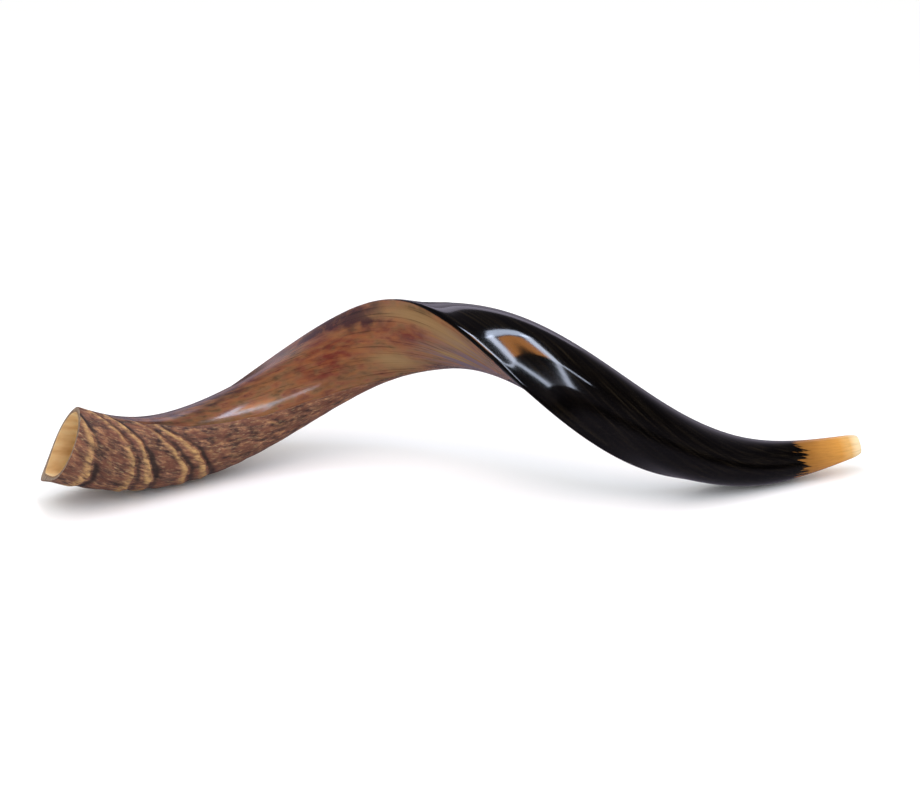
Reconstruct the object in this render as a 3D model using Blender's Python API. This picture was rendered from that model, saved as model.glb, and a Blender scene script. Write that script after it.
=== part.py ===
# A shofar: one long kudu horn, sawn at the bell, hollowed, drilled through its solid tip and
# half polished. It lies as it comes to rest on a table, with +X from the bell to the mouthpiece.
# The horn is one piece of keratin. Its nodes are its real zones and layers, each a closed solid.

from math import atan2, pi, radians

import bmesh
import bpy
import numpy as np
from mathutils import Matrix

# Driving dimensions, in metres and radians. A place along the horn is u: 0 at the bell, 1 at the
# tip. A place round it is an angle, counted from the keel.
AXIS_LENGTH = 0.523                 # of the spiral, along its own axis
SPIRAL_RADIUS = (0.0613, 0.0197)    # from the spiral's axis to the horn's centre line
START_PHASE = radians(-202.2)       # where the spiral starts, counted from straight up
TURN = 6.536                        # the spiral's even turning from bell to tip
TURN_SPEEDUP = 1.342                # more turning, which grows with the square of u
BODY_RADIUS = (0.0244, 0.0255, 0.0219, 0.0222, 0.0203, 0.0169, 0.0072)
KEEL_HEIGHT = (0.60, 0.55, 0.52, 0.45, 0.30, 0.12)             # as a share of the body radius
KEEL_ANGLE = (1.224, 1.188, 1.092, 1.357, 1.489, 1.251, 1.05)  # from the spiral's outward line
KEEL_WIDTH = 0.284                  # the angle over which the keel falls away
KEEL_ROUNDING = 0.06
RIDGE_ANGLE = 2.484                 # the low second ridge, counted from the keel
RIDGE_HEIGHT = 0.134
RIDGE_WIDTH = 0.574
RIDGE_ROUNDING = 0.12
FLATTENING = 0.074                  # the sides are a little flatter than round

WALL_AT_BELL = 0.003
WALL_GROWTH = 0.008                 # the wall thickens with the square of u
CAVITY_FOLLOWS_KEEL = 0.65          # the cavity is rounder than the outside
BORE_RADIUS = 0.003
BORE_BLEND = 0.002                  # how gently the cavity runs into the drilled bore
CUP_START = 0.984
CUP_RADIUS = 0.0052
LAYER_THICKNESS = 0.0012            # the pale inner layer
GAP = 0.0003                        # between neighbouring solids

SAW_NORMAL = (-0.8877, -0.4075, 0.2144)   # the bell is sawn off square to this line
SAW_DISTANCE = 0.2366
SAW_SEARCH = (-0.10, 0.08)          # the stretch of u in which the saw meets the wall
COLLAR_END = 0.07
BARK_END = 0.41
AMBER_END = 0.58
BLACK_END = 0.93

LIE_ROLL = radians(-20.46)          # about the spiral's axis, onto the points it rests on
LIE_TILT = radians(6.01)            # lifts the bell's end of that axis
LIE_YAW = radians(-2.24)            # turns the horn on the table

STATIONS = 57                       # cross-sections from bell to tip
POLISHED_FACETS = 10                # round the side from the keel to the second ridge
BARK_FACETS = 14                    # round the other side
FACET_CROWDING = 1.3                # draws the facets together at the sharp keel


def through(values, u):
    """A smooth curve through evenly spaced values: a natural cubic spline."""
    values = np.array(values)
    bends = np.zeros(len(values))
    inner = len(values) - 2
    system = 4 * np.eye(inner) + np.eye(inner, k=1) + np.eye(inner, k=-1)
    bends[1:-1] = np.linalg.solve(system, 6 * (values[2:] - 2 * values[1:-1] + values[:-2]))
    place = np.asarray(u) * (len(values) - 1)
    left = np.clip(np.floor(place).astype(int), 0, len(values) - 2)
    t = place - left
    straight = values[left] * (1 - t) + values[left + 1] * t
    curved = bends[left] * ((1 - t) ** 3 - (1 - t)) + bends[left + 1] * (t ** 3 - t)
    return straight + curved / 6


def unit(vectors):
    return vectors / np.linalg.norm(vectors, axis=-1, keepdims=True)


def spiral_frame(u):
    """The centre line, and the two directions that span the cross-section there."""
    phase = START_PHASE + TURN * u + TURN_SPEEDUP * u * u
    turning = TURN + 2 * TURN_SPEEDUP * u
    start, end = SPIRAL_RADIUS
    reach = start + (end - start) * u
    along = np.ones_like(u)
    centre = np.stack([AXIS_LENGTH * (u - 0.5), -reach * np.sin(phase), reach * np.cos(phase)], -1)
    radial = np.stack([0 * along, -np.sin(phase), np.cos(phase)], -1)
    sweep = np.stack([0 * along, -np.cos(phase), -np.sin(phase)], -1)
    axis = np.array([AXIS_LENGTH, 0.0, 0.0])
    forward = unit(axis + (end - start) * radial + (reach * turning)[..., None] * sweep)
    outward = unit(radial - np.sum(radial * forward, -1, keepdims=True) * forward)
    return centre, outward, np.cross(forward, outward)


def rounded_distance(angle, rounding):
    """How far an angle is from zero, with a soft bottom in place of a kink."""
    wrapped = np.abs((angle + pi) % (2 * pi) - pi)
    return np.sqrt(wrapped ** 2 + rounding ** 2) - rounding


def bulge(u, angle):
    """The shape of a cross-section, as a share of the body radius."""
    fade = 1 - np.clip(u, 0, 1) ** 6
    flat = FLATTENING * (1 - u) * fade * np.sin(angle) ** 2
    keel = through(KEEL_HEIGHT, u) * np.exp(-rounded_distance(angle, KEEL_ROUNDING) / KEEL_WIDTH)
    low = rounded_distance(angle - RIDGE_ANGLE, RIDGE_ROUNDING) / RIDGE_WIDTH
    ridge = RIDGE_HEIGHT * (1 - u) * fade * np.exp(-low)
    return 1 - flat + keel + ridge


def outside(u, angle):
    return through(BODY_RADIUS, u) * bulge(u, angle)


def cavity(u, angle):
    """The hollow left by the bone, which narrows into the drilled bore and ends in the cup."""
    wall = WALL_AT_BELL + WALL_GROWTH * u * u
    hollow = through(BODY_RADIUS, u) * (1 + CAVITY_FOLLOWS_KEEL * (bulge(u, angle) - 1)) - wall
    spread = hollow - BORE_RADIUS
    drilled = BORE_RADIUS + (spread + np.sqrt(spread ** 2 + BORE_BLEND ** 2)) / 2
    into_cup = np.clip((u - CUP_START) / (1 - CUP_START), 0, 1)
    return drilled + (CUP_RADIUS - BORE_RADIUS) * np.sqrt(into_cup)


def layer_back(u, angle):
    return cavity(u, angle) + LAYER_THICKNESS


def wall_back(u, angle):
    return layer_back(u, angle) + GAP


def place(surface, u, angle):
    """Points on one of the horn's surfaces, before it is laid down."""
    centre, outward, sideways = spiral_frame(u)
    radius = surface(u, angle)
    turned = angle + through(KEEL_ANGLE, u)
    across = (radius * np.cos(turned))[..., None] * outward
    return centre + across + (radius * np.sin(turned))[..., None] * sideways


def saw_cut(surface, angle):
    """Where the saw's plane meets a surface, found by halving."""
    low = np.full_like(angle, SAW_SEARCH[0])
    high = np.full_like(angle, SAW_SEARCH[1])
    for _ in range(50):
        middle = (low + high) / 2
        beyond = place(surface, middle, angle) @ np.array(SAW_NORMAL) > SAW_DISTANCE
        low = np.where(beyond, middle, low)
        high = np.where(beyond, high, middle)
    return (low + high) / 2


def polished_angles():
    steps = np.arange(POLISHED_FACETS + 1) / POLISHED_FACETS
    return RIDGE_ANGLE * steps ** FACET_CROWDING


def bark_angles():
    steps = np.arange(BARK_FACETS + 1) / BARK_FACETS
    return 2 * pi - (2 * pi - RIDGE_ANGLE) * (1 - steps) ** FACET_CROWDING


def all_round():
    return np.concatenate([polished_angles()[:-1], bark_angles()])


def between_seams(angles):
    """Pull the two outer lines in by half a gap, at the mean radius of the wall."""
    inset = GAP / 2 / through(BODY_RADIUS, 0.3)
    angles[0] += inset
    angles[-1] -= inset
    return angles


def stations(start, end):
    """Cross-sections that all shells share, so that nested surfaces stay parallel."""
    shared = np.linspace(0, 1, STATIONS)
    apart = 0.4 / (STATIONS - 1)
    inner = shared[(shared > start + apart) & (shared < end - apart)]
    seam = GAP / 2 / (AXIS_LENGTH * 1.17)
    first = start + seam if start > 0 else start
    last = end - seam if end < 1 else end
    return np.concatenate([[first], inner, [last]])


def shell(name, material, start, end, angles, outer, inner):
    """A stretch of wall between two surfaces: a grid, rolled up, thickened and carried over."""
    rows = stations(start, end)
    mesh = bmesh.new()
    bmesh.ops.create_grid(mesh, x_segments=len(angles) - 1, y_segments=len(rows) - 1, size=0.5)
    for vert in mesh.verts:
        column = round((vert.co.x + 0.5) * (len(angles) - 1))
        row = round((vert.co.y + 0.5) * (len(rows) - 1))
        vert.co = (np.cos(angles[column]), np.sin(angles[column]), rows[row])
    bmesh.ops.remove_doubles(mesh, verts=mesh.verts, dist=1e-6)
    front = set(mesh.verts)
    bmesh.ops.extrude_face_region(mesh, geom=mesh.faces[:])
    for surface, verts in ((outer, list(front)), (inner, [v for v in mesh.verts if v not in front])):
        angle = np.array([atan2(v.co.y, v.co.x) for v in verts]) % (2 * pi)
        u = np.array([v.co.z for v in verts])
        if start == 0:
            u = u + saw_cut(surface, angle) * np.clip(1 - u / COLLAR_END, 0, 1)
        for vert, point in zip(verts, place(surface, u, angle)):
            vert.co = point
    bmesh.ops.recalc_face_normals(mesh, faces=mesh.faces)
    data = bpy.data.meshes.new(name)
    mesh.to_mesh(data)
    mesh.free()
    piece = bpy.data.objects.new(name, data)
    bpy.context.scene.collection.objects.link(piece)
    data.materials.append(material)
    data.shade_smooth()
    data.set_sharp_from_angle(angle=radians(50))
    return piece


def horn_material(name, colour, roughness):
    material = bpy.data.materials.new(name)
    material.use_nodes = True
    principled = material.node_tree.nodes["Principled BSDF"]
    principled.inputs["Base Color"].default_value = (*colour, 1.0)
    principled.inputs["Roughness"].default_value = roughness
    principled.inputs["Metallic"].default_value = 0.0
    return material


def build_walls():
    bark = horn_material("bark_horn", (0.13, 0.065, 0.035), 0.75)
    amber = horn_material("amber_horn", (0.21, 0.075, 0.03), 0.18)
    black = horn_material("black_horn", (0.008, 0.006, 0.005), 0.12)
    dull_bark = horn_material("collar_horn", (0.16, 0.085, 0.045), 0.8)
    polished = between_seams(polished_angles())
    barky = between_seams(bark_angles())
    return [
        shell("rough_bell_collar", dull_bark, 0, COLLAR_END, all_round(), outside, wall_back),
        shell("rough_underside", bark, COLLAR_END, BARK_END, barky, outside, wall_back),
        shell("polished_amber_side", amber, COLLAR_END, AMBER_END, polished, outside, wall_back),
        shell("black_back", black, BARK_END, AMBER_END, barky, outside, wall_back),
        shell("black_front", black.copy(), AMBER_END, BLACK_END, all_round(), outside, cavity),
    ]


def build_pale_parts():
    pale = horn_material("pale_inner_horn", (0.60, 0.40, 0.20), 0.5)
    tip = horn_material("pale_tip_horn", (0.62, 0.40, 0.17), 0.2)
    return [
        shell("pale_inner_layer", pale, 0, AMBER_END, all_round(), layer_back, cavity),
        shell("drilled_tip", tip, BLACK_END, 1, all_round(), outside, cavity),
    ]


def lay_down(pieces):
    """Turn the horn onto the points that it rests on, with its box's base on the origin."""
    roll = Matrix.Rotation(LIE_ROLL, 4, "X")
    turn = Matrix.Rotation(LIE_YAW, 4, "Z") @ Matrix.Rotation(LIE_TILT, 4, "Y") @ roll
    for piece in pieces:
        piece.data.transform(turn)
    points = np.array([v.co for piece in pieces for v in piece.data.vertices])
    low, high = points.min(0), points.max(0)
    shift = Matrix.Translation((-(low[0] + high[0]) / 2, -(low[1] + high[1]) / 2, -low[2]))
    for piece in pieces:
        piece.data.transform(shift)


for old in list(bpy.data.objects):
    bpy.data.objects.remove(old, do_unlink=True)
lay_down(build_walls() + build_pale_parts())
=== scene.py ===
from itertools import product
from math import pi, radians

import bpy
import numpy as np
from mathutils import Matrix, Vector


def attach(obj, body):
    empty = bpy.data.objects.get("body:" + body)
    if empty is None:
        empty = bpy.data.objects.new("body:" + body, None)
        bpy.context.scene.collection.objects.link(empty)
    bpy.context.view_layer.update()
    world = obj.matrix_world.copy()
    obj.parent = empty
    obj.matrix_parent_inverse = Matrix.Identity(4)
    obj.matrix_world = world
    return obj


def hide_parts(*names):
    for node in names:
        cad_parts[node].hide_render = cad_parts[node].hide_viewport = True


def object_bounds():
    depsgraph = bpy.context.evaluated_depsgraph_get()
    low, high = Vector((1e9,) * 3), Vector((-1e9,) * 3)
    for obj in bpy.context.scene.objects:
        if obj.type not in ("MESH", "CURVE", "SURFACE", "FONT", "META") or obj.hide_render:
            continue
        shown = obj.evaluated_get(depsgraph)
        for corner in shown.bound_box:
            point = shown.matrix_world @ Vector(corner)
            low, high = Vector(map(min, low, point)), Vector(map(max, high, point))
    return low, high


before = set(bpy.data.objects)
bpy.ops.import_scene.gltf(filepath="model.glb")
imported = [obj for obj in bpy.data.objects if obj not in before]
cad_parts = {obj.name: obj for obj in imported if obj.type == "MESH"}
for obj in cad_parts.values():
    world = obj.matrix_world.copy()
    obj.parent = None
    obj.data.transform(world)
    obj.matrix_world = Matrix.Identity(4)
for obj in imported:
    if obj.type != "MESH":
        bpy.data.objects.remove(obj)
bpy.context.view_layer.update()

# The horn's shape, in metres and radians, the same as the frame's. A place along the horn is u,
# 0 at the bell and 1 at the tip, and a place round it is an angle, counted from the keel.
horn = {
    "axisLength": 0.523,
    "spiralRadius": (0.0613, 0.0197),
    "startPhase": radians(-202.2),
    "turn": 6.536,
    "turnSpeedup": 1.342,
    "bodyRadius": (0.0244, 0.0255, 0.0219, 0.0222, 0.0203, 0.0169, 0.0072),
    "keelHeight": (0.60, 0.55, 0.52, 0.45, 0.30, 0.12),
    "keelAngle": (1.224, 1.188, 1.092, 1.357, 1.489, 1.251, 1.05),
    "keelWidth": 0.284,
    "keelRounding": 0.06,
    "ridgeAngle": 2.484,
    "ridgeHeight": 0.134,
    "ridgeWidth": 0.574,
    "ridgeRounding": 0.12,
    "flattening": 0.074,
    "wallAtBell": 0.003,
    "wallGrowth": 0.008,
    "cavityFollowsKeel": 0.65,
    "boreRadius": 0.003,
    "boreBlend": 0.002,
    "cupStart": 0.984,
    "cupRadius": 0.0052,
    "layerThickness": 0.0012,
    "sawNormal": (-0.8877, -0.4075, 0.2144),
    "sawDistance": 0.2366,
    "sawSearch": (-0.10, 0.08),
    "collarEnd": 0.07,
    "roll": radians(-20.46),
    "tilt": radians(6.01),
    "yaw": radians(-2.24),
    "offset": (0.015633, -0.010179, 0.059395),
}


def through(values, u):
    # a natural cubic spline through evenly spaced values
    values = np.array(values)
    bends = np.zeros(len(values))
    inner = len(values) - 2
    system = 4 * np.eye(inner) + np.eye(inner, k=1) + np.eye(inner, k=-1)
    bends[1:-1] = np.linalg.solve(system, 6 * (values[2:] - 2 * values[1:-1] + values[:-2]))
    place = np.asarray(u) * (len(values) - 1)
    left = np.clip(np.floor(place).astype(int), 0, len(values) - 2)
    t = place - left
    straight = values[left] * (1 - t) + values[left + 1] * t
    curved = bends[left] * ((1 - t) ** 3 - (1 - t)) + bends[left + 1] * (t ** 3 - t)
    return straight + curved / 6


def unit(vectors):
    return vectors / np.linalg.norm(vectors, axis=-1, keepdims=True)


def smoothStep(low, high, value):
    t = np.clip((value - low) / (high - low), 0, 1)
    return t * t * (3 - 2 * t)


def spiralFrame(u):
    # the centre line, and the two directions that span the cross-section there
    phase = horn["startPhase"] + horn["turn"] * u + horn["turnSpeedup"] * u * u
    turning = horn["turn"] + 2 * horn["turnSpeedup"] * u
    start, end = horn["spiralRadius"]
    reach = start + (end - start) * u
    sine = np.sin(phase)
    cosine = np.cos(phase)
    zero = np.zeros_like(u)
    centre = np.stack([horn["axisLength"] * (u - 0.5), -reach * sine, reach * cosine], -1)
    radial = np.stack([zero, -sine, cosine], -1)
    sweep = np.stack([zero, -cosine, -sine], -1)
    axis = np.array([horn["axisLength"], 0.0, 0.0])
    forward = unit(axis + (end - start) * radial + (reach * turning)[..., None] * sweep)
    outward = unit(radial - np.sum(radial * forward, -1, keepdims=True) * forward)
    return centre, outward, np.cross(forward, outward)


def roundedDistance(angle, rounding):
    wrapped = np.abs((angle + pi) % (2 * pi) - pi)
    return np.sqrt(wrapped ** 2 + rounding ** 2) - rounding


def bulge(u, angle):
    # the cross-section's shape: a keel, a low second ridge and slightly flat sides
    fade = 1 - np.clip(u, 0, 1) ** 6
    flat = horn["flattening"] * (1 - u) * fade * np.sin(angle) ** 2
    fallAway = roundedDistance(angle, horn["keelRounding"]) / horn["keelWidth"]
    keel = through(horn["keelHeight"], u) * np.exp(-fallAway)
    low = roundedDistance(angle - horn["ridgeAngle"], horn["ridgeRounding"]) / horn["ridgeWidth"]
    ridge = horn["ridgeHeight"] * (1 - u) * fade * np.exp(-low)
    return 1 - flat + keel + ridge


def smoothOutside(u, angle):
    return through(horn["bodyRadius"], u) * bulge(u, angle)


def cavity(u, angle):
    wall = horn["wallAtBell"] + horn["wallGrowth"] * u * u
    shape = 1 + horn["cavityFollowsKeel"] * (bulge(u, angle) - 1)
    spread = through(horn["bodyRadius"], u) * shape - wall - horn["boreRadius"]
    drilled = horn["boreRadius"] + (spread + np.sqrt(spread ** 2 + horn["boreBlend"] ** 2)) / 2
    intoCup = np.clip((u - horn["cupStart"]) / (1 - horn["cupStart"]), 0, 1)
    return drilled + (horn["cupRadius"] - horn["boreRadius"]) * np.sqrt(intoCup)


def layerBack(u, angle):
    return cavity(u, angle) + horn["layerThickness"]


def alongGrain(u):
    # metres along the centre line from the bell
    return 0.6635 * u - 0.0517 * u * u


def straightened(u, angle, twist=0.0):
    # where a place would be if the horn were untwisted into a straight cone, in metres
    radius = through(horn["bodyRadius"], np.clip(u, -0.05, 1))
    turned = angle - twist * u
    return np.stack([radius * np.cos(turned), radius * np.sin(turned), alongGrain(u)], -1)


latticeSize = 64
lattice = np.random.default_rng(11).random(latticeSize ** 3) * 2 - 1


def grainNoise(points, across, along, start=0.0):
    # smooth noise from -1 to 1, with patches of that size in metres across and along the grain
    scaled = points / np.array([across, across, along]) + start
    base = np.floor(scaled)
    t = scaled - base
    t = t * t * (3 - 2 * t)
    cell = base.astype(int) % latticeSize
    following = (cell + 1) % latticeSize
    steps = np.array([latticeSize ** 2, latticeSize, 1])
    ends = (cell * steps, following * steps)
    shares = (1 - t, t)
    total = 0
    for x, y, z in product((0, 1), repeat=3):
        index = ends[x][..., 0] + ends[y][..., 1] + ends[z][..., 2]
        total = total + shares[x][..., 0] * shares[y][..., 1] * shares[z][..., 2] * lattice[index]
    return total


# Where the natural bark, the black horn and the pale tip begin. Lengths round the horn are
# angle times the mean radius.
zones = {
    "meanRadius": 0.025,
    "barkLine": radians(145.5),
    "barkEnd": 0.452,
    "barkPastKeel": 0.03,
    "blackLine": radians(146),
    "blackStart": 0.416,
    "blackPastKeel": 0.055,
    "blackAllRound": 0.566,
    "tipStart": 0.918,
    "barkTwist": 0.7,
}


def pastKeel(angle):
    return np.where(angle < radians(70), angle + 2 * pi, angle)


def barkReach(u, angle):
    # metres inside the bark's edge, less than nothing outside it
    turned = pastKeel(angle)
    points = straightened(u, angle)
    wander = 0.0009 * grainNoise(points, 0.008, 0.012, 3.3)
    ragged = 0.012 * grainNoise(points, 0.0035, 0.07, 9.1)
    fromLine = (turned - zones["barkLine"]) * zones["meanRadius"] + wander
    fromKeel = (2 * pi + zones["barkPastKeel"] - turned) * zones["meanRadius"]
    fromEnd = alongGrain(np.full_like(u, zones["barkEnd"])) - alongGrain(u) + ragged
    return np.minimum(np.minimum(fromLine, fromKeel), fromEnd)


def blackReach(u, angle):
    turned = pastKeel(angle)
    points = straightened(u, angle)
    ragged = 0.010 * grainNoise(points, 0.0030, 0.08, 5.7)
    wander = 0.0006 * grainNoise(points, 0.006, 0.03, 1.9)
    fromLine = (turned - zones["blackLine"]) * zones["meanRadius"]
    stripe = zones["blackPastKeel"] * (0.25 + 0.75 * smoothStep(0.41, 0.48, u))
    fromKeel = (2 * pi + stripe - turned) * 1.4 * zones["meanRadius"] + 0.5 * wander
    fromStart = alongGrain(u) - alongGrain(np.full_like(u, zones["blackStart"])) + ragged
    back = np.minimum(np.minimum(fromLine, fromKeel), fromStart)
    front = alongGrain(u) - alongGrain(np.full_like(u, zones["blackAllRound"])) + 1.5 * ragged
    return np.maximum(back, front)


def tipReach(u, angle):
    points = straightened(u, angle)
    ragged = 0.002 * grainNoise(points, 0.0014, 0.04, 7.7) + 0.003 * grainNoise(points, 0.004, 0.05)
    return alongGrain(u) - alongGrain(np.full_like(u, zones["tipStart"])) + ragged


# The rings that the horn grew by, in its bark. Each is a crest that falls steeply into a groove
# on its tip side. A ring starts at the bark's edge and slopes away from the bell.
growth = {
    "rings": (
        (-0.050, 1.0), (-0.028, 0.25), (-0.004, 0.80), (0.017, 1.0), (0.038, 0.25), (0.057, 0.80),
        (0.080, 0.8), (0.102, 0.25), (0.122, 0.3), (0.150, 0.2), (0.178, 0.15), (0.204, 0.3),
        (0.236, 0.2), (0.270, 0.15), (0.305, 0.1),
    ),
    "startAngle": radians(148),
    "slopeAngle": radians(32),
    "slope": 0.058,
    "crestWidth": 0.0066,
    "grooveWidth": 0.0042,
    "height": 0.00085,
}


def growthPlace(u, angle):
    # a place along the horn, counted from ring to ring
    past = np.clip(pastKeel(angle) - growth["startAngle"], 0, None)
    lag = growth["slope"] * (1 - np.exp(-past / growth["slopeAngle"]))
    wander = grainNoise(straightened(u, angle), 0.012, 0.012, 2.2)
    return u - lag + 0.0026 * wander + 0.0020 * grainNoise(straightened(u, angle), 0.005, 0.006, 7.1)


def growthRings(u, angle):
    # crests above nothing and grooves below it, from about -1 to 1
    along = growthPlace(u, angle)
    points = straightened(u, angle)
    patchy = 0.75 + 0.5 * grainNoise(points, 0.014, 0.010, 6.4)
    total = np.zeros_like(u)
    for centre, strength in growth["rings"]:
        t = along - centre
        width = np.where(t < 0, growth["crestWidth"], 0.5 * growth["crestWidth"])
        crest = np.exp(-(t / width) ** 2)
        groove = np.exp(-((t - 1.25 * growth["crestWidth"]) / growth["grooveWidth"]) ** 2)
        total += strength * (crest - 0.9 * groove)
    return total * np.clip(patchy, 0.2, 1.2)


# The fine relief, in metres: torn fibres in the bark, and faint waves left by polishing.
relief = {
    "fibre": 0.00010,
    "coarseFibre": 0.00016,
    "lump": 0.00018,
    "polishWave": 0.00006,
    "barkStep": 0.00022,
}


def reliefHeight(u, angle):
    points = straightened(u, angle)
    barkPoints = straightened(u, angle, zones["barkTwist"])
    inBark = smoothStep(-0.0002, 0.0012, barkReach(u, angle))
    nearBell = 0.35 + 0.65 * (1 - smoothStep(0.10, 0.30, u))
    rings = growth["height"] * growthRings(u, angle)
    fibres = relief["fibre"] * grainNoise(barkPoints, 0.0013, 0.016)
    fibres += relief["coarseFibre"] * grainNoise(barkPoints, 0.0034, 0.030, 4.4)
    fibres += relief["lump"] * grainNoise(points, 0.007, 0.006, 8.8)
    polish = relief["polishWave"] * grainNoise(points, 0.009, 0.045, 5.5)
    polish = polish * (1 - smoothStep(0.96, 1.0, u))
    return inBark * (nearBell * (rings + fibres) + relief["barkStep"] * nearBell) + (1 - inBark) * polish


tipRounding = {"start": 0.987, "depth": 0.0016}


def outside(u, angle):
    t = np.clip((u - tipRounding["start"]) / (1 - tipRounding["start"]), 0, 0.999)
    rounded = tipRounding["depth"] * (1 - np.sqrt(1 - t * t))
    return smoothOutside(u, angle) + reliefHeight(u, angle) - rounded


def hollow(u, angle):
    # the inside, with the faint lengthwise ribs that the bone left
    points = straightened(u, angle)
    ribs = 0.00012 * grainNoise(points, 0.0028, 0.030, 2.0) + 0.0002 * grainNoise(points, 0.010, 0.04)
    return cavity(u, angle) + ribs * (1 - smoothStep(0.5, 0.6, u))


def place(surface, u, angle):
    centre, outward, sideways = spiralFrame(u)
    radius = surface(u, angle)
    turned = angle + through(horn["keelAngle"], u)
    across = (radius * np.cos(turned))[..., None] * outward
    return centre + across + (radius * np.sin(turned))[..., None] * sideways


def sawCut(surface, angle):
    # how far along the saw's plane meets a surface, read from a fine table made by halving
    table = np.linspace(0, 2 * pi, 720, endpoint=False)
    low = np.full_like(table, horn["sawSearch"][0])
    high = np.full_like(table, horn["sawSearch"][1])
    for _ in range(40):
        middle = (low + high) / 2
        beyond = place(surface, middle, table) @ np.array(horn["sawNormal"]) > horn["sawDistance"]
        low = np.where(beyond, middle, low)
        high = np.where(beyond, high, middle)
    return np.interp(angle, table, (low + high) / 2, period=2 * pi)


layDown = (
    Matrix.Rotation(horn["yaw"], 3, "Z")
    @ Matrix.Rotation(horn["tilt"], 3, "Y")
    @ Matrix.Rotation(horn["roll"], 3, "X")
)
turnToTable = np.array(layDown)


def onTable(points):
    return points @ turnToTable.T + np.array(horn["offset"])


def outwardNormal(surface, u, angle):
    # steps about as long as the mesh is fine
    stepAlong = 0.0006
    stepRound = 0.014
    along = place(surface, u + stepAlong, angle) - place(surface, u - stepAlong, angle)
    around = place(surface, u, angle + stepRound) - place(surface, u, angle - stepRound)
    normal = unit(np.cross(around, along))
    away = place(surface, u, angle) - spiralFrame(u)[0]
    return normal * np.sign(np.sum(normal * away, -1, keepdims=True))


# The straight blank that each piece starts as.
blank = {"radius": 0.025, "wall": 0.004, "length": 0.62}


def readPoints(piece):
    points = np.empty(len(piece.data.vertices) * 3)
    piece.data.vertices.foreach_get("co", points)
    return points.reshape(-1, 3)


def writePoints(piece, points):
    piece.data.vertices.foreach_set("co", points.ravel())
    piece.data.update()


def rolledBlank(name, rows, angles, rounding):
    # a sheet rolled up, given its wall and rounded at the ends that are left open
    bpy.ops.object.select_all(action="DESELECT")
    columns = len(angles) - 1
    bpy.ops.mesh.primitive_grid_add(x_subdivisions=columns, y_subdivisions=len(rows) - 1, size=1)
    sheet = bpy.context.active_object
    sheet.name = name
    sheet.data.name = name
    flat = readPoints(sheet)
    angle = angles[np.rint((flat[:, 0] + 0.5) * columns).astype(int)]
    row = rows[np.rint((flat[:, 1] + 0.5) * (len(rows) - 1)).astype(int)]
    radius = blank["radius"]
    rolled = [radius * np.cos(angle), radius * np.sin(angle), row * blank["length"]]
    writePoints(sheet, np.stack(rolled, -1))
    share = 1 - blank["wall"] / radius
    bpy.ops.object.mode_set(mode="EDIT")
    bpy.ops.mesh.select_all(action="SELECT")
    bpy.ops.mesh.remove_doubles(threshold=1e-6)
    bpy.ops.mesh.extrude_region_move()
    bpy.ops.transform.resize(value=(share, share, 1), center_override=(0, 0, 0))
    bpy.ops.mesh.select_all(action="SELECT")
    bpy.ops.mesh.normals_make_consistent(inside=False)
    bpy.ops.object.mode_set(mode="OBJECT")
    for end, size in rounding:
        roundEnd(sheet, end * blank["length"], size)
    return sheet


def roundEnd(sheet, height, size):
    # bevels the two rings of edges at one end of the blank
    points = readPoints(sheet)
    atEnd = np.abs(points[:, 2] - height) < 1e-6
    distance = np.hypot(points[:, 0], points[:, 1])
    pairs = np.empty(len(sheet.data.edges) * 2, int)
    sheet.data.edges.foreach_get("vertices", pairs)
    pairs = pairs.reshape(-1, 2)
    level = np.abs(distance[pairs[:, 0]] - distance[pairs[:, 1]]) < 1e-5
    chosen = atEnd[pairs].all(1) & level
    selectOnly(sheet, edges=chosen)
    bpy.ops.object.mode_set(mode="EDIT")
    bpy.ops.mesh.bevel(offset=size, segments=3, affect="EDGES", clamp_overlap=False)
    bpy.ops.object.mode_set(mode="OBJECT")


def selectOnly(sheet, edges):
    bpy.context.tool_settings.mesh_select_mode = (False, True, False)
    sheet.data.vertices.foreach_set("select", np.zeros(len(sheet.data.vertices), bool))
    sheet.data.polygons.foreach_set("select", np.zeros(len(sheet.data.polygons), bool))
    sheet.data.edges.foreach_set("select", edges)


def hornWall(piece, outer, inner):
    # a blank carried over to the twisted horn, between an outer and an inner surface
    sheet = rolledBlank(piece["name"], piece["rows"], piece["angles"], piece.get("rounding", ()))
    points = readPoints(sheet)
    angle = np.arctan2(points[:, 1], points[:, 0]) % (2 * pi)
    depth = (blank["radius"] - np.hypot(points[:, 0], points[:, 1])) / blank["wall"]
    u = points[:, 2] / blank["length"]
    outerU = u
    innerU = u
    if piece["rows"][0] == 0:
        fade = np.clip(1 - u / horn["collarEnd"], 0, 1)
        outerU = u + sawCut(outer, angle) * fade
        innerU = u + sawCut(inner, angle) * fade
    depth = depth[:, None]
    carried = place(outer, outerU, angle) * (1 - depth) + place(inner, innerU, angle) * depth
    writePoints(sheet, onTable(carried))
    writeNormals(sheet, depth[:, 0], outer, inner, outerU, innerU, angle)
    writePlaces(sheet, outerU, angle, depth[:, 0])
    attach(sheet, "root")
    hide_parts(piece["standsFor"])
    print("made", piece["name"], len(sheet.data.polygons), "faces")
    return sheet


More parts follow.
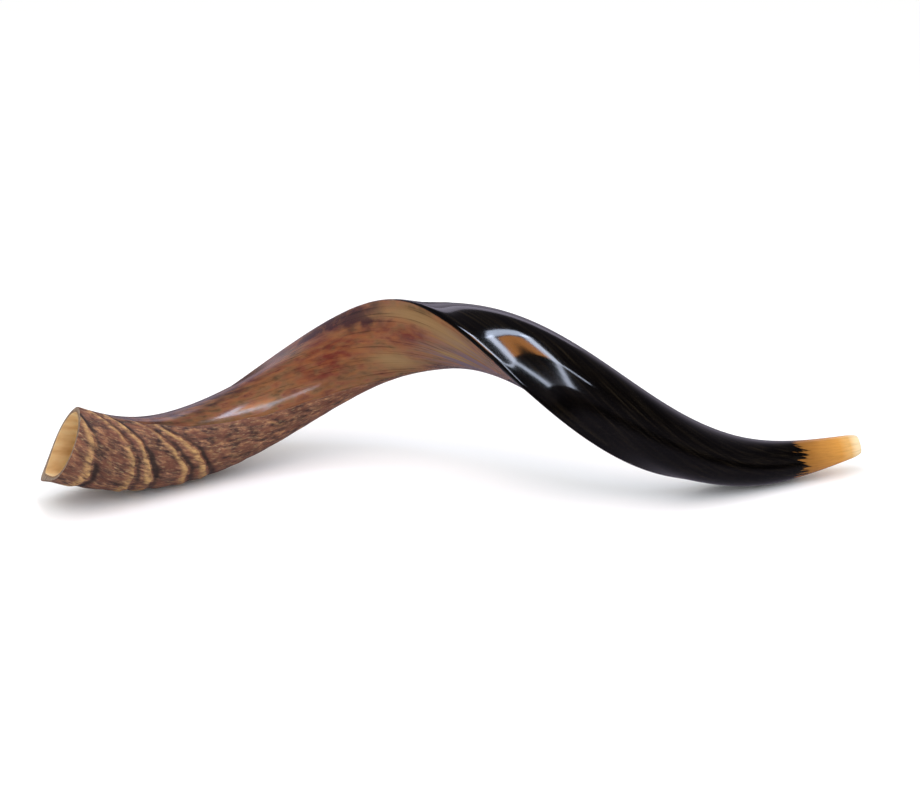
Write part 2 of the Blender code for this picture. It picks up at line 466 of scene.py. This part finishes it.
def writeNormals(sheet, depth, outer, inner, outerU, innerU, angle):
    # normals from the surfaces themselves, so that light runs on across the seams
    data = sheet.data
    bpy.ops.object.shade_smooth_by_angle(angle=radians(40))
    corners = np.empty(len(data.loops), int)
    data.loops.foreach_get("vertex_index", corners)
    starts = np.empty(len(data.polygons), int)
    data.polygons.foreach_get("loop_start", starts)
    deepest = np.maximum.reduceat(depth[corners], starts)
    shallowest = np.minimum.reduceat(depth[corners], starts)
    spans = np.repeat(deepest - shallowest, np.diff(np.append(starts, len(corners)))) > 0.6
    normals = np.empty(len(corners) * 3, np.float32)
    data.corner_normals.foreach_get("vector", normals)
    normals = normals.reshape(-1, 3)
    for surface, u, facing, side in (
        (outer, outerU, 1, depth < 0.001),
        (inner, innerU, -1, depth > 0.999),
    ):
        pointNormals = np.zeros((len(depth), 3), np.float32)
        pointNormals[side] = facing * outwardNormal(surface, u[side], angle[side]) @ turnToTable.T
        onSide = ~spans & side[corners]
        normals[onSide] = pointNormals[corners[onSide]]
    data.normals_split_custom_set(normals)


def writePlaces(sheet, u, angle, depth):
    # what the materials read: the untwisted place, the zones' edges and the stains
    addVectors(sheet, "grain", straightened(u, angle))
    addVectors(sheet, "barkGrain", straightened(u, angle, zones["barkTwist"]))
    reach = [barkReach(u, angle), blackReach(u, angle), tipReach(u, angle)]
    addVectors(sheet, "zones", np.stack(reach, -1) * 1000)
    strong, grey = stains(u, angle)
    addVectors(sheet, "stain", strong)
    addVectors(sheet, "growth", np.stack([growthRings(u, angle), u, depth], -1))
    addVectors(sheet, "veil", np.stack([grey, grey, grey], -1))


def addVectors(sheet, name, vectors):
    attribute = sheet.data.attributes.new(name, "FLOAT_VECTOR", "POINT")
    attribute.data.foreach_set("vector", vectors.astype(np.float32).ravel())


# Stains in the polished amber side: where along, where round in degrees, how far each way.
stainSpots = {
    "red": ((0.335, 55, 0.045, 50), (0.30, 95, 0.03, 25), (0.43, 48, 0.03, 14), (0.22, 60, 0.03, 30)),
    "dark": ((0.325, 8, 0.055, 17), (0.375, 22, 0.022, 18), (0.04, 90, 0.12, 80),
             (0.47, 112, 0.05, 16), (0.15, 45, 0.10, 42)),
    "pale": ((0.50, 24, 0.045, 13), (0.44, 14, 0.05, 8), (0.49, 60, 0.04, 16), (0.40, 100, 0.03, 20)),
    "grey": ((0.49, 72, 0.05, 30), (0.53, 40, 0.035, 24), (0.10, 70, 0.06, 24)),
}


def stains(u, angle):
    degrees = np.degrees(angle)
    points = straightened(u, angle)
    layers = []
    for number, kind in enumerate(("red", "dark", "pale", "grey")):
        total = np.zeros_like(u)
        for spotU, spotAngle, sizeU, sizeAngle in stainSpots[kind]:
            far = ((u - spotU) / sizeU) ** 2 + ((degrees - spotAngle) / sizeAngle) ** 2
            total += np.exp(-far)
        patchy = 1 + 0.45 * grainNoise(points, 0.006, 0.022, 3.0 * number)
        layers.append(np.clip(total * patchy, 0, 1))
    return np.stack(layers[:3], -1), layers[3]


polishedColumns = 90
barkColumns = 180


def polishedAngles():
    steps = np.arange(polishedColumns + 1) / polishedColumns
    return horn["ridgeAngle"] * steps ** 1.25


def barkAngles():
    steps = np.arange(barkColumns + 1) / barkColumns
    return 2 * pi - (2 * pi - horn["ridgeAngle"]) * (1 - steps) ** 1.15


allRound = np.concatenate([polishedAngles()[:-1], barkAngles()])
collarRows = np.linspace(0, 0.07, 101)
barkRows = 0.07 + 0.34 * (0.62 * np.linspace(0, 1, 261) + 0.38 * np.linspace(0, 1, 261) ** 2)
crossingRows = np.linspace(0.41, 0.58, 111)
blackRows = np.linspace(0.58, 0.93, 171)
tipRows = np.linspace(0.93, 1, 66)

bellCollar = hornWall(
    {
        "name": "bellCollar",
        "standsFor": "rough_bell_collar",
        "slot": "collar_horn",
        "rows": collarRows,
        "angles": allRound,
        "rounding": ((0, 0.0004),),
    },
    outside,
    layerBack,
)
barkUnderside = hornWall(
    {
        "name": "barkUnderside",
        "standsFor": "rough_underside",
        "slot": "bark_horn",
        "rows": barkRows,
        "angles": barkAngles(),
    },
    outside,
    layerBack,
)
amberSide = hornWall(
    {
        "name": "amberSide",
        "standsFor": "polished_amber_side",
        "slot": "amber_horn",
        "rows": np.concatenate([barkRows[:-1], crossingRows]),
        "angles": polishedAngles(),
    },
    outside,
    layerBack,
)
blackBack = hornWall(
    {
        "name": "blackBack",
        "standsFor": "black_back",
        "slot": "black_horn",
        "rows": crossingRows,
        "angles": barkAngles(),
    },
    outside,
    layerBack,
)
blackFront = hornWall(
    {
        "name": "blackFront",
        "standsFor": "black_front",
        "slot": "black_horn",
        "rows": blackRows,
        "angles": allRound,
    },
    outside,
    hollow,
)
drilledTip = hornWall(
    {
        "name": "drilledTip",
        "standsFor": "drilled_tip",
        "slot": "pale_tip_horn",
        "rows": tipRows,
        "angles": allRound,
        "rounding": ((1, 0.0004),),
    },
    outside,
    hollow,
)
paleLining = hornWall(
    {
        "name": "paleLining",
        "standsFor": "pale_inner_layer",
        "slot": "pale_inner_horn",
        "rows": np.linspace(0, 0.58, 221),
        "angles": np.linspace(0, 2 * pi, 161),
        "rounding": ((0, 0.0003),),
    },
    layerBack,
    hollow,
)


def linear(hexColour):
    # an sRGB hex colour as the linear colour that shaders take
    channels = [int(hexColour[i:i + 2], 16) / 255 for i in (1, 3, 5)]
    return [c / 12.92 if c <= 0.04045 else ((c + 0.055) / 1.055) ** 2.4 for c in channels] + [1]


def wire(tree, node, inputs):
    # a node is linked by its result, a socket is linked as it is, and anything else is set
    for name, value in inputs.items():
        if isinstance(value, bpy.types.Node):
            value = next(output for output in value.outputs if output.enabled)
        if isinstance(value, bpy.types.NodeSocket):
            tree.links.new(value, node.inputs[name])
        else:
            node.inputs[name].default_value = value


def addNode(tree, kind, inputs=None, ramp=None, **settings):
    node = tree.nodes.new(kind)
    for name, value in settings.items():
        setattr(node, name, value)
    wire(tree, node, inputs or {})
    if ramp:
        stops = node.color_ramp.elements
        while len(stops) < len(ramp):
            stops.new(0.5)
        for stop, (position, colour) in zip(stops, ramp):
            stop.position = position
            stop.color = linear(colour) if isinstance(colour, str) else [colour] * 3 + [1]
    return node


# Settings of the nodes used most. A mix takes its share at 0, and what it mixes at 6 and 7 for
# colours, or at 2 and 3 for values. A range takes a value, from where to where, and what that gives.
colourMix = {"kind": "ShaderNodeMix", "data_type": "RGBA"}
darkening = {"kind": "ShaderNodeMix", "data_type": "RGBA", "blend_type": "MULTIPLY"}
valueMix = {"kind": "ShaderNodeMix", "data_type": "FLOAT"}
smoothRange = {"kind": "ShaderNodeMapRange", "interpolation_type": "SMOOTHSTEP"}
timesNode = {"kind": "ShaderNodeMath", "operation": "MULTIPLY"}


def grainTexture(tree, vector, across, along, detail, ramp=None, roughness=0.5):
    # noise in patches of that size in metres, drawn out along the fibres
    scale = (1 / across, 1 / across, 1 / along)
    mapped = addNode(tree, "ShaderNodeMapping", {"Vector": vector, "Scale": scale})
    settings = {"Vector": mapped, "Scale": 1.0, "Detail": detail, "Roughness": roughness}
    noise = addNode(tree, "ShaderNodeTexNoise", settings)
    if ramp is None:
        return noise
    return addNode(tree, "ShaderNodeValToRGB", {"Fac": noise}, ramp=ramp)


def split(tree, name):
    # a mesh's stored vector, whole and in its three parts
    attribute = addNode(tree, "ShaderNodeAttribute", attribute_name=name).outputs["Vector"]
    return attribute, addNode(tree, "ShaderNodeSeparateXYZ", {0: attribute}).outputs


keratinIor = 1.54
bumpDistance = 0.0005


def newMaterial(name):
    material = bpy.data.materials.new(name)
    material.use_nodes = True
    shader = material.node_tree.nodes["Principled BSDF"]
    shader.inputs["IOR"].default_value = keratinIor
    return material, material.node_tree, shader


def hornMaterial(name, layers):
    # One horn runs through all the pieces, so each material is these layers in the same order.
    material, tree, shader = newMaterial(name)
    grain, _ = split(tree, "grain")
    barkGrain, _ = split(tree, "barkGrain")
    _, zone = split(tree, "zones")
    _, stain = split(tree, "stain")
    _, ring = split(tree, "growth")
    fine = grainTexture(tree, grain, 0.0007, 0.030, 3)
    colour = linear("#000000")
    roughness = 0.14
    bump = {"Strength": 0.02, "Distance": bumpDistance, "Height": fine}
    if "amber" in layers:
        _, veil = split(tree, "veil")
        colour = amberColour(tree, grain, stain, veil)
        roughness = addNode(tree, inputs={0: fine, 1: 0.3, 2: 0.8, 3: 0.15, 4: 0.22}, **smoothRange)
    if "bark" in layers:
        edge = addNode(tree, inputs={0: zone[0], 1: -0.25, 2: 0.35}, **smoothRange)
        bark = barkColour(tree, grain, barkGrain, ring)
        colour = addNode(tree, inputs={0: edge, 6: colour, 7: bark}, **colourMix)
        dry = addNode(tree, inputs={0: ring[1], 1: 0.12, 2: 0.34, 3: 0.58, 4: 0.38}, **smoothRange)
        roughness = addNode(tree, inputs={0: edge, 2: roughness, 3: dry}, **valueMix)
        torn = grainTexture(tree, barkGrain, 0.0006, 0.010, 4, roughness=0.65)
        rising = addNode(tree, inputs={0: zone[0], 1: -0.2, 2: 0.6}, **smoothRange)
        strength = addNode(tree, inputs={0: rising, 2: 0.02, 3: 0.7}, **valueMix)
        bump = {"Strength": strength, "Distance": bumpDistance, "Height": torn}
    if "sawn" in layers:
        edge = addNode(tree, inputs={0: ring[2], 1: 0.06, 2: 0.22}, **smoothRange)
        colour = addNode(tree, inputs={0: edge, 6: colour, 7: sawnColour(tree, grain)}, **colourMix)
        roughness = addNode(tree, inputs={0: edge, 2: roughness, 3: 0.6}, **valueMix)
    if "black" in layers:
        edge = addNode(tree, inputs={0: zone[1], 1: -0.4, 2: 0.5}, **smoothRange)
        colour = addNode(tree, inputs={0: edge, 6: colour, 7: blackColour(tree, grain)}, **colourMix)
        roughness = addNode(tree, inputs={0: edge, 2: roughness, 3: 0.10}, **valueMix)
    if "tip" in layers:
        streaks = grainTexture(tree, grain, 0.0015, 0.040, 3)
        spread = {0: streaks, 1: 30.0, 2: zone[2]}   # millimetres
        frayed = addNode(tree, "ShaderNodeMath", spread, operation="MULTIPLY_ADD")
        edge = addNode(tree, inputs={0: frayed, 1: 12.5, 2: 18.0}, **smoothRange)
        tip = tipColour(tree, grain, ring)
        colour = addNode(tree, inputs={0: edge, 6: colour, 7: tip}, **colourMix)
        roughness = addNode(tree, inputs={0: edge, 2: roughness, 3: 0.18}, **valueMix)
    normal = addNode(tree, "ShaderNodeBump", bump)
    wire(tree, shader, {"Base Color": colour, "Roughness": roughness, "Normal": normal})
    return material


def amberColour(tree, grain, stain, veil):
    # scraped and buffed keratin: translucent amber with red and olive clouds and dark fibres
    clouds = [(0.34, "#503d2a"), (0.47, "#715338"), (0.56, "#7d5139"), (0.68, "#613a2d")]
    base = grainTexture(tree, grain, 0.0055, 0.014, 4, clouds, 0.55)
    torn = grainTexture(tree, grain, 0.0048, 0.010, 3, [(0.34, 0.30), (0.64, 1.0)], 0.5)
    redShare = addNode(tree, inputs={0: stain[0], 1: torn}, **timesNode)
    darkShare = addNode(tree, inputs={0: stain[1], 1: torn}, **timesNode)
    red = addNode(tree, inputs={0: redShare, 6: base, 7: linear("#602a20")}, **colourMix)
    patches = grainTexture(tree, grain, 0.0032, 0.009, 3, [(0.42, 0.0), (0.64, 0.45)], 0.5)
    warm = addNode(tree, inputs={0: patches, 6: red, 7: linear("#8b5530")}, **colourMix)
    deep = addNode(tree, inputs={0: darkShare, 1: 0.0, 2: 0.85, 3: 0.0, 4: 0.95}, **smoothRange)
    dark = addNode(tree, inputs={0: deep, 6: warm, 7: linear("#341c20")}, **colourMix)
    pale = addNode(tree, inputs={0: stain[2], 6: dark, 7: linear("#846745")}, **colourMix)
    streaks = grainTexture(tree, grain, 0.0022, 0.050, 3, [(0.36, 0.0), (0.56, 1.0)])
    veiled = addNode(tree, inputs={0: streaks, 1: veil[0]}, **timesNode)
    greyed = addNode(tree, inputs={0: veiled, 6: pale, 7: linear("#62525a")}, **colourMix)
    fibres = grainTexture(tree, grain, 0.0011, 0.045, 4, [(0.33, 0.50), (0.42, 0.93), (0.7, 1.06)])
    return addNode(tree, inputs={0: 0.85, 6: greyed, 7: fibres}, **darkening)


def barkColour(tree, grain, barkGrain, ring):
    # natural outer keratin, never scraped: dry, fibrous and brown, with a painted highlight on the ring
    # crests and painted shade in the grooves
    stops = [(0.34, "#35201a"), (0.46, "#5c392b"), (0.55, "#80553c"), (0.66, "#ab7d52")]
    base = grainTexture(tree, barkGrain, 0.0021, 0.0066, 6, stops, 0.66)
    clouds = grainTexture(tree, grain, 0.007, 0.012, 5, [(0.38, 0.52), (0.62, 1.25)], 0.6)
    base = addNode(tree, inputs={0: 0.9, 6: base, 7: clouds}, **darkening)
    rust = grainTexture(tree, grain, 0.0045, 0.013, 5, [(0.44, 0.0), (0.60, 0.60)])
    base = addNode(tree, inputs={0: rust, 6: base, 7: linear("#74402a")}, **colourMix)
    flecks = grainTexture(tree, barkGrain, 0.0009, 0.0045, 4, [(0.58, 0.0), (0.70, 0.50)])
    base = addNode(tree, inputs={0: flecks, 6: base, 7: linear("#b8996f")}, **colourMix)
    patchy = grainTexture(tree, barkGrain, 0.0022, 0.0060, 5, [(0.38, 0.12), (0.60, 1.0)], 0.65)
    # painted highlight: where the rings stand proud, the bark is lightened in patches towards pale tan
    crestHighlightShare = addNode(tree, inputs={0: ring[0], 1: 0.05, 2: 0.75, 3: 0.0, 4: 0.95}, **smoothRange)
    share = addNode(tree, inputs={0: crestHighlightShare, 1: patchy}, **timesNode)
    crest = addNode(tree, inputs={0: share, 6: base, 7: linear("#c0965c")}, **colourMix)
    # painted shade: the groove on each ring's tip side is darkened almost to black-brown
    grooveShadeShare = addNode(tree, inputs={0: ring[0], 1: -0.05, 2: -0.75, 3: 0.0, 4: 0.90}, **smoothRange)
    return addNode(tree, inputs={0: grooveShadeShare, 6: crest, 7: linear("#2b1a15")}, **colourMix)


def sawnColour(tree, grain):
    # the saw's cut through the wall: dull and greyish brown
    return grainTexture(tree, grain, 0.0020, 0.0020, 4, [(0.35, "#66544a"), (0.65, "#a38c74")])


def blackColour(tree, grain):
    # dense black keratin, buffed to a mirror, with faint brown fibres deep in it
    stops = [(0.45, "#040303"), (0.60, "#0e0b08"), (0.74, "#1e1910")]
    return grainTexture(tree, grain, 0.0014, 0.045, 4, stops)


def tipColour(tree, grain, ring):
    # the solid tip: honey-coloured where it leaves the black and cream at the end
    stops = [(0.0, "#8f5f28"), (0.35, "#b47c38"), (0.75, "#cb8f42"), (0.93, "#dcab66"), (1.0, "#eed8ac")]
    along = addNode(tree, inputs={0: ring[1], 1: 0.915, 2: 1.0}, **smoothRange)
    base = addNode(tree, "ShaderNodeValToRGB", {"Fac": along}, ramp=stops)
    fibres = grainTexture(tree, grain, 0.0012, 0.040, 3, [(0.35, 0.80), (0.55, 1.0), (0.75, 1.05)])
    return addNode(tree, inputs={0: 0.7, 6: base, 7: fibres}, **darkening)


def liningMaterial(name):
    # bare inner keratin, never polished: cream and dull, browner where it was sawn
    material, tree, shader = newMaterial(name)
    grain, _ = split(tree, "grain")
    _, ring = split(tree, "growth")
    stops = [(0.3, "#d0a470"), (0.5, "#e8c690"), (0.7, "#f3dfb2")]
    inside = grainTexture(tree, grain, 0.008, 0.030, 4, stops)
    sawn = addNode(tree, inputs={0: ring[2], 1: 0.80, 2: 0.98, 3: 1.0, 4: 0.0}, **smoothRange)
    colour = addNode(tree, inputs={0: sawn, 6: inside, 7: linear("#8d6f50")}, **colourMix)
    height = grainTexture(tree, grain, 0.004, 0.015, 4)
    bump = {"Strength": 0.2, "Distance": bumpDistance, "Height": height}
    normal = addNode(tree, "ShaderNodeBump", bump)
    wire(tree, shader, {"Base Color": colour, "Roughness": 0.45, "Normal": normal})
    return material


bellCollar.data.materials.append(hornMaterial("naturalKeratinCollar", ("amber", "bark", "sawn")))
barkUnderside.data.materials.append(hornMaterial("naturalKeratinBark", ("amber", "bark", "black")))
amberSide.data.materials.append(hornMaterial("buffedAmberKeratin", ("amber", "bark", "black")))
blackBack.data.materials.append(hornMaterial("buffedBlackKeratinBack", ("amber", "bark", "black")))
blackFront.data.materials.append(hornMaterial("buffedBlackKeratin", ("amber", "black", "tip")))
drilledTip.data.materials.append(hornMaterial("buffedPaleKeratin", ("black", "tip")))
paleLining.data.materials.append(liningMaterial("innerKeratin"))
print("materials done")

# The table: a large plain sheet, as low as the horn's lowest point.
table = {"size": 8.0, "colour": "#fafaf9"}
bpy.ops.object.select_all(action="DESELECT")
bpy.ops.mesh.primitive_plane_add(size=table["size"], location=(0, 0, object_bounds()[0][2]))
floor = bpy.context.active_object
floor.name = "table"
floor.visible_glossy = False
floorMaterial = bpy.data.materials.new("mattWhitePaper")
floorMaterial.use_nodes = True
floorShader = floorMaterial.node_tree.nodes["Principled BSDF"]
floorShader.inputs["Base Color"].default_value = linear(table["colour"])
floorShader.inputs["Roughness"].default_value = 0.9
floorShader.inputs["Specular IOR Level"].default_value = 0.0   # the paper stays white at a slant
floor.data.materials.append(floorMaterial)

# The room: white to the eye, dimmer overhead and in front in what the polish mirrors.
world = bpy.data.worlds.new("paleRoom")
bpy.context.scene.world = world
world.use_nodes = True
sky = world.node_tree
direction = addNode(sky, "ShaderNodeTexCoord").outputs["Generated"]
parts = addNode(sky, "ShaderNodeSeparateXYZ", {0: direction}).outputs
rays = addNode(sky, "ShaderNodeLightPath").outputs
overhead = addNode(sky, inputs={0: parts[2], 1: 0.15, 2: 0.70, 3: 0.75, 4: 0.08}, **smoothRange)
behind = addNode(sky, inputs={0: parts[1], 1: -0.3, 2: 0.7, 3: 0.12, 4: 1.0}, **smoothRange)
level = addNode(sky, inputs={0: parts[2], 1: -0.12, 2: 0.10, 3: 0.12, 4: 1.0}, **smoothRange)
below = addNode(sky, inputs={0: parts[2], 1: -0.60, 2: -0.20, 3: 0.16, 4: 0.0}, **smoothRange)
above = addNode(sky, inputs={0: overhead, 1: behind}, **timesNode)
above = addNode(sky, inputs={0: above, 1: level}, **timesNode)
mirrored = addNode(sky, "ShaderNodeMath", {0: above, 1: below}, operation="ADD")
unseen = addNode(sky, inputs={0: rays["Is Glossy Ray"], 2: 1.0, 3: mirrored}, **valueMix)
strength = addNode(sky, inputs={0: rays["Is Camera Ray"], 2: unseen, 3: 1.0}, **valueMix)
tintInputs = {0: rays["Is Glossy Ray"], 6: linear("#ffffff"), 7: linear("#d9d0e6")}
tint = addNode(sky, inputs=tintInputs, **colourMix)
wire(sky, sky.nodes["Background"], {"Color": tint, "Strength": strength})

# Narrow strips, laid out like a bright window's frame round a warm reveal. Each runs from one
# direction to another, as seen from the middle of the black horn.
window = {
    "seenFrom": (0.04, -0.02, 0.09),
    "distance": 0.75,
    "radiance": 15.0,
}
lights = [
    # name, from, to, width, brightness, colour
    ("windowHigh", (0.0, 0.08, 1.0), (-0.03, -0.585, 0.81), 0.055, 1.0, "#dfe9ff"),
    ("windowLeft", (-0.03, -0.585, 0.81), (-0.22, -0.95, 0.22), 0.035, 0.8, "#dfe9ff"),
    ("windowRight", (0.0, -0.59, 0.81), (0.17, -0.76, 0.63), 0.035, 0.8, "#dfe9ff"),
    ("windowTop", (-0.17, 0.03, 0.985), (0.02, 0.13, 0.99), 0.110, 0.8, "#cfdcf5"),
    ("warmReveal", (-0.12, -0.05, 0.99), (-0.11, -0.52, 0.85), 0.080, 0.45, "#f5a258"),
    ("rearWindow", (-0.40, 0.86, 0.42), (0.45, 0.86, 0.42), 0.160, 0.07, "#e2dcf2"),
]
for name, start, end, width, brightness, colour in lights:
    seenFrom = Vector(window["seenFrom"])
    start = seenFrom + Vector(start) * window["distance"]
    end = seenFrom + Vector(end) * window["distance"]
    data = bpy.data.lights.new(name, "AREA")
    data.shape = "RECTANGLE"
    data.size = (end - start).length
    data.size_y = width
    data.energy = pi * window["radiance"] * brightness * data.size * data.size_y
    data.color = linear(colour)[:3]
    strip = bpy.data.objects.new(name, data)
    bpy.context.scene.collection.objects.link(strip)
    middle = (start + end) / 2
    away = (middle - seenFrom).normalized()
    long = (end - start).normalized()
    away = (away - away.dot(long) * long).normalized()
    side = away.cross(long)
    strip.matrix_world = Matrix.Translation(middle) @ Matrix((long, side, away)).transposed().to_4x4()
    strip.visible_camera = False

keyData = bpy.data.lights.new("softKey", "AREA")
keyData.shape = "RECTANGLE"
keyData.size = 2.4
keyData.size_y = 1.6
keyData.energy = 8
key = bpy.data.objects.new("softKey", keyData)
bpy.context.scene.collection.objects.link(key)
key.location = (-0.8, -0.9, 2.2)
key.rotation_euler = (Vector((0, 0, 0)) - key.location).to_track_quat("-Z", "Y").to_euler()
key.visible_camera = False
key.visible_glossy = False

# The camera stands a long way back, a little above the horn, and is very slightly rolled.
cameraPlace = {
    "stands": (-0.00163, -1.60321, 0.65292),
    "aims": (0.00508, -0.01045, 0.05868),
    "up": (0.0196, 0.3476, 0.9374),
    "lens": 99.3,
}
cameraData = bpy.data.cameras.new("camera")
cameraData.lens = cameraPlace["lens"]
camera = bpy.data.objects.new("camera", cameraData)
bpy.context.scene.collection.objects.link(camera)
ahead = (Vector(cameraPlace["aims"]) - Vector(cameraPlace["stands"])).normalized()
right = ahead.cross(Vector(cameraPlace["up"])).normalized()
up = right.cross(ahead)
looks = Matrix((right, up, -ahead)).transposed().to_4x4()
camera.matrix_world = Matrix.Translation(cameraPlace["stands"]) @ looks
bpy.context.scene.camera = camera
bpy.context.scene.view_settings.view_transform = "Standard"
